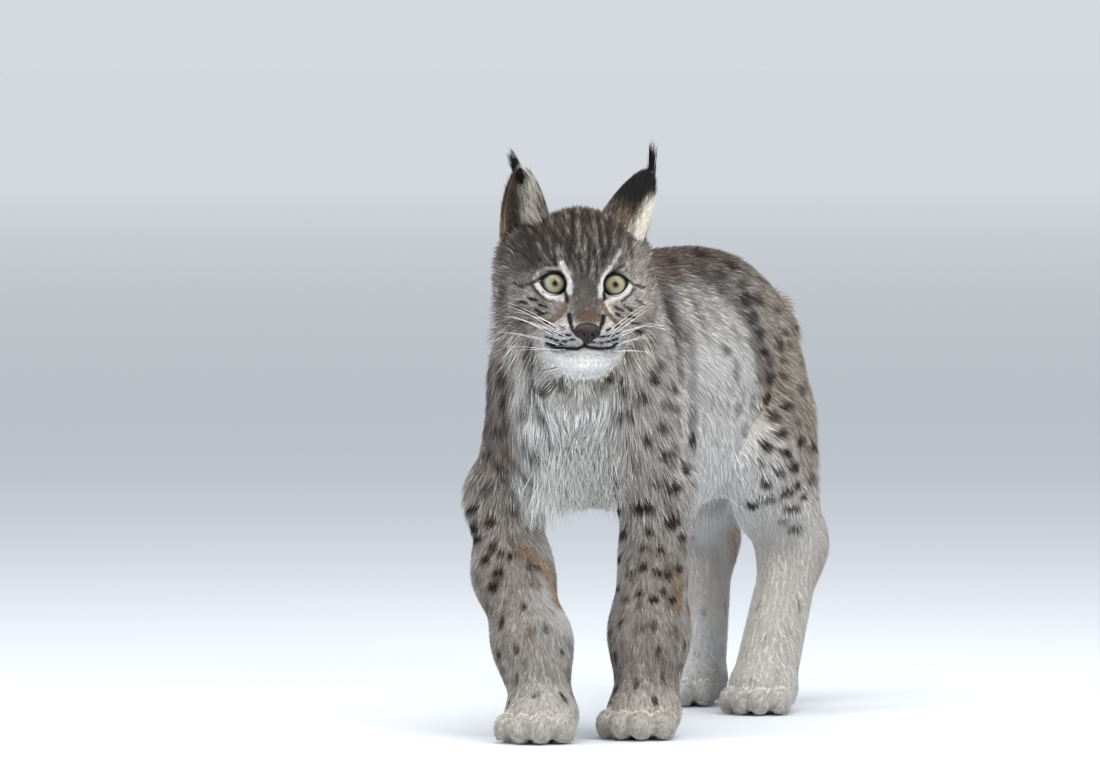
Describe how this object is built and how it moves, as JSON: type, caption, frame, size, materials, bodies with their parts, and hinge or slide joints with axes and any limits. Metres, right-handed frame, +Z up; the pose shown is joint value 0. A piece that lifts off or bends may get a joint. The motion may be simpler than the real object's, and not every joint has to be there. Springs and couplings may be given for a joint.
{
  "type": "eurasian lynx",
  "caption": "Young Eurasian lynx in winter coat, walking with its head turned to the left; life-size still model with tufted ears, cheek ruff and short tail.",
  "frame": {"origin": "on the floor, under the middle of the whole outline in plan", "axes": "+Z up, -Y towards the head, +X towards the animal's left side"},
  "size_m": [0.2714, 0.8262, 0.6097],
  "materials": {
    "coat": "dense soft winter fur, matt",
    "nose_skin": "bare damp skin, slightly glossy",
    "eye": "wet and glossy"
  },
  "bodies": {
    "root": {"head": "coat", "nose": "nose_skin", "eye_left": "eye", "eye_right": "eye", "ear_left": "coat", "ear_right": "coat", "neck": "coat", "torso": "coat", "tail": "coat", "foreleg_left_upper": "coat", "foreleg_left_lower": "coat", "foreleg_left_paw": "coat", "foreleg_right_upper": "coat", "foreleg_right_lower": "coat", "foreleg_right_paw": "coat", "hindleg_left_upper": "coat", "hindleg_left_lower": "coat", "hindleg_left_paw": "coat", "hindleg_right_upper": "coat", "hindleg_right_lower": "coat", "hindleg_right_paw": "coat"}
  },
  "joints": []
}
